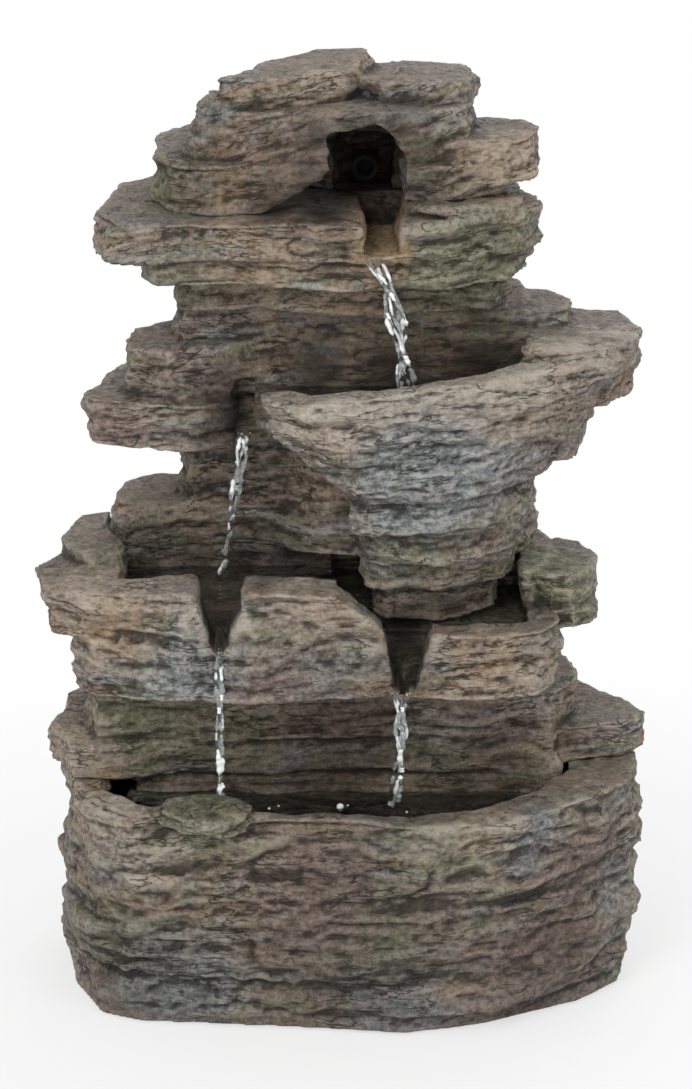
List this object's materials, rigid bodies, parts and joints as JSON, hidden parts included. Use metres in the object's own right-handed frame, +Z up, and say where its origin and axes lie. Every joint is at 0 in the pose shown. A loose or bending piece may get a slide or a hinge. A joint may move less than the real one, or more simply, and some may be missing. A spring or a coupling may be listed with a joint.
{
  "type": "tabletop fountain",
  "caption": "Rock-look cascading tabletop fountain: stacked ledges pour from a cave spout through bowls and notches into a front basin, with a pump chamber behind.",
  "frame": {"origin": "on the table, under the middle of the whole object", "axes": "+Z up, the pool and cascade face -Y, +X to the viewer's right"},
  "size_m": [0.268, 0.1729, 0.4],
  "materials": {
    "basin_rock": "cast stone-filled resin, rough, dry-brushed grey brown",
    "tower_rock": "cast stone-filled resin, rough, dry-brushed tan over grey brown",
    "foot_rubber": "matt black foam rubber",
    "hose": "clear flexible PVC",
    "pump_black": "moulded black plastic",
    "core_steel": "laminated steel",
    "coil_copper": "enamelled copper wire",
    "magnet": "dark ferrite",
    "impeller_plastic": "moulded white plastic",
    "shaft_steel": "ground",
    "bush_rubber": "black rubber",
    "dial_plastic": "moulded dark plastic",
    "cup_rubber": "soft translucent black rubber"
  },
  "bodies": {
    "fountain": {"basin": "basin_rock", "plinth": "tower_rock", "lower_tier": "tower_rock", "middle_tier": "tower_rock", "upper_tier": "tower_rock", "cap_rock": "tower_rock", "foot_pads": "foot_rubber", "riser_tube": "hose", "spout_elbow": "pump_black", "pump_housing": "pump_black", "motor_end_cap": "pump_black", "stator_core": "core_steel", "stator_coil": "coil_copper", "rear_bush": "bush_rubber", "pump_shaft": "shaft_steel", "volute_cover": "pump_black", "front_bush": "bush_rubber", "suction_cups": "cup_rubber"},
    "rotor": {"rotor_magnet": "magnet", "impeller": "impeller_plastic"},
    "intake": {"intake_cover": "pump_black"},
    "dial": {"flow_dial": "dial_plastic"},
    "door": {"access_door": "tower_rock"}
  },
  "joints": [
    {"name": "impeller_spin", "type": "hinge", "parent": "fountain", "child": "rotor", "pos_m": [0.008, 0.038, 0.032], "axis": [1, 0, 0], "continuous": true},
    {"name": "intake_pull", "type": "slide", "parent": "fountain", "child": "intake", "axis": [1, 0, 0], "range_m": [0, 0.02]},
    {"name": "flow_dial_turn", "type": "hinge", "parent": "intake", "child": "dial", "pos_m": [0.008, 0.038, 0.032], "axis": [1, 0, 0], "range_deg": [0, 22.5]},
    {"name": "door_pull", "type": "slide", "parent": "fountain", "child": "door", "axis": [0, 1, 0], "range_m": [0, 0.05]}
  ]
}
